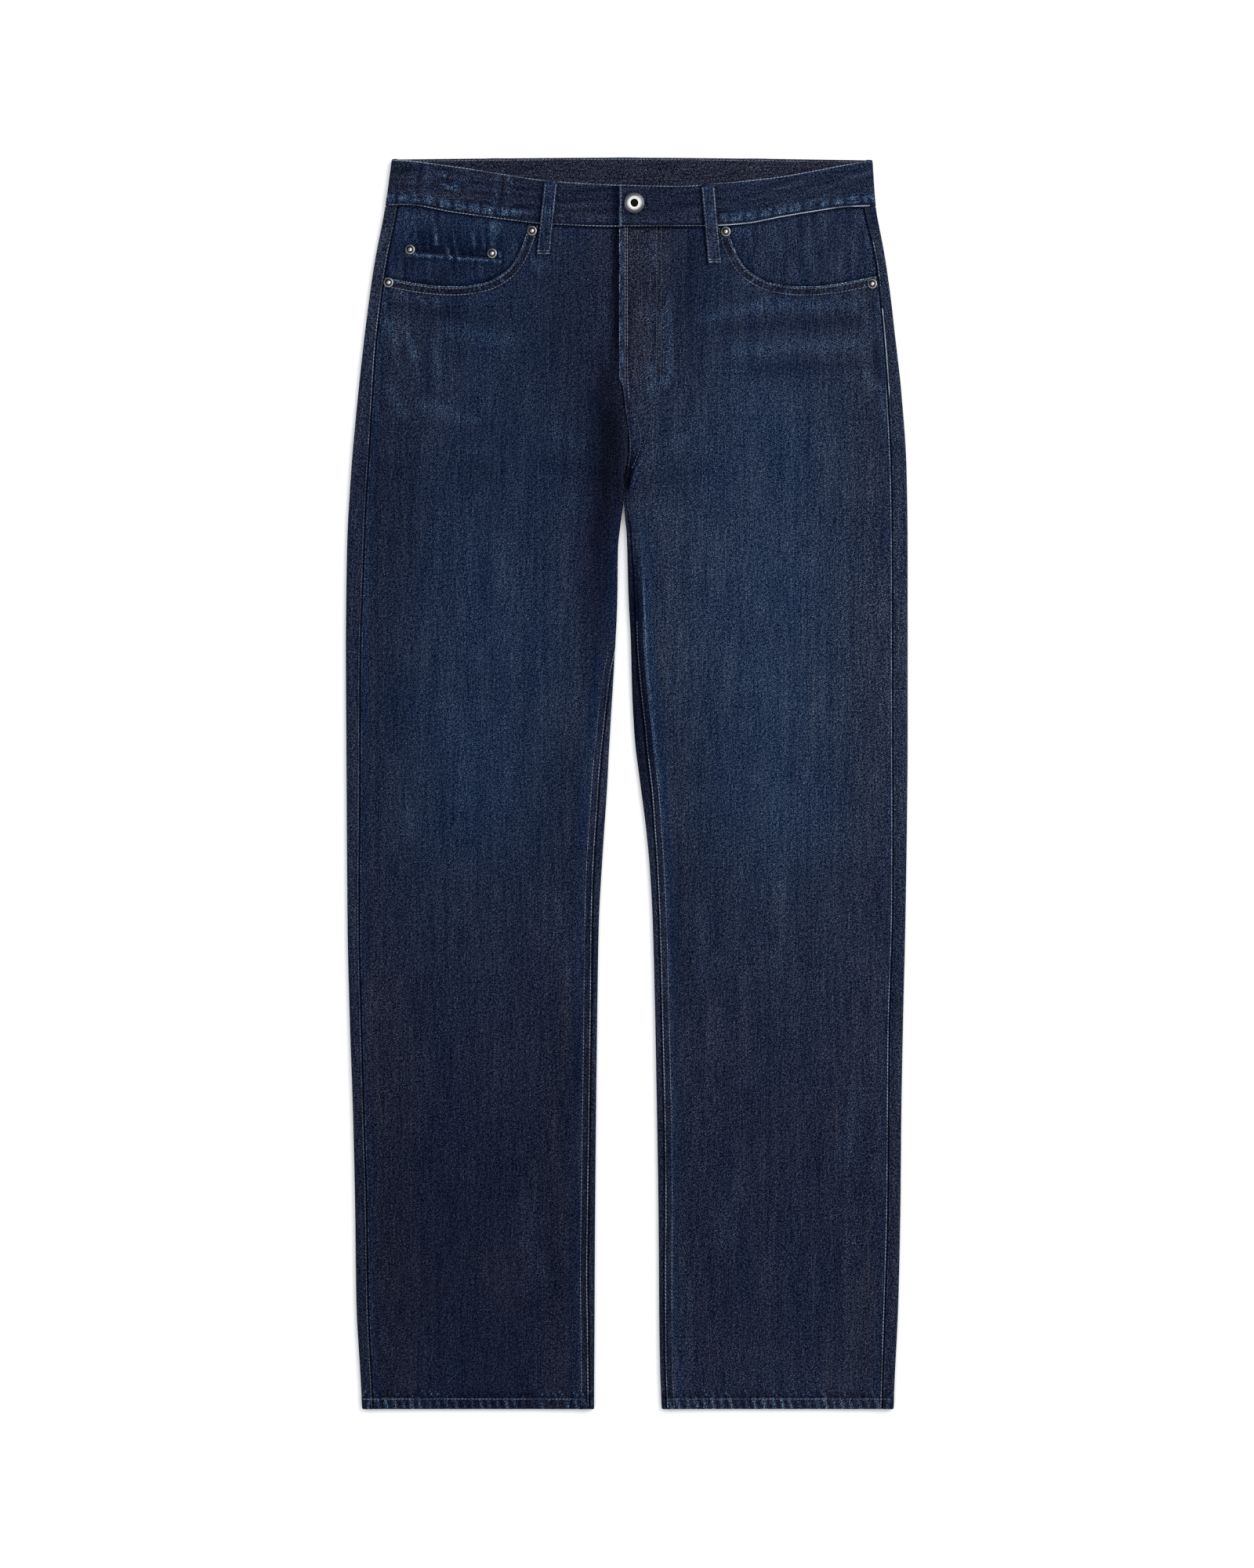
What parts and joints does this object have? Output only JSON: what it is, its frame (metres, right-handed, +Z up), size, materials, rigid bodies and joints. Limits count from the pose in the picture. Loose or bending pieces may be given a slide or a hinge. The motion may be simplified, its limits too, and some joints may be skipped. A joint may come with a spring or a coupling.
{
  "type": "straight leg jeans",
  "caption": "Straight leg denim jeans laid flat, fronts up: lapped waistband with a button, curved front pockets, coin pocket, belt loops and turned hems.",
  "frame": {"origin": "centre of the garment's outline, on the surface that it lies on", "axes": "+Y from the hems to the waist, +Z up out of the surface, fronts facing +Z, the wearer's right leg at -X"},
  "size_m": [0.4828, 1.075, 0.0124],
  "materials": {
    "denim": "faded indigo twill",
    "worn_denim": "worn indigo twill",
    "nickel": "aged nickel plate"
  },
  "bodies": {
    "root": {"front_right": "denim", "front_left": "denim", "back_right": "denim", "back_left": "denim", "yoke_right": "denim", "yoke_left": "denim", "back_pocket_right": "denim", "back_pocket_left": "denim", "waistband": "worn_denim", "pocket_facing_right": "worn_denim", "pocket_facing_left": "worn_denim", "coin_pocket": "worn_denim", "belt_loop_1": "worn_denim", "belt_loop_2": "worn_denim", "belt_loop_3": "worn_denim", "belt_loop_4": "worn_denim", "belt_loop_5": "worn_denim", "rivet_1": "nickel", "rivet_2": "nickel", "rivet_3": "nickel", "rivet_4": "nickel", "rivet_5": "nickel", "rivet_6": "nickel", "waist_button": "nickel"}
  },
  "joints": []
}
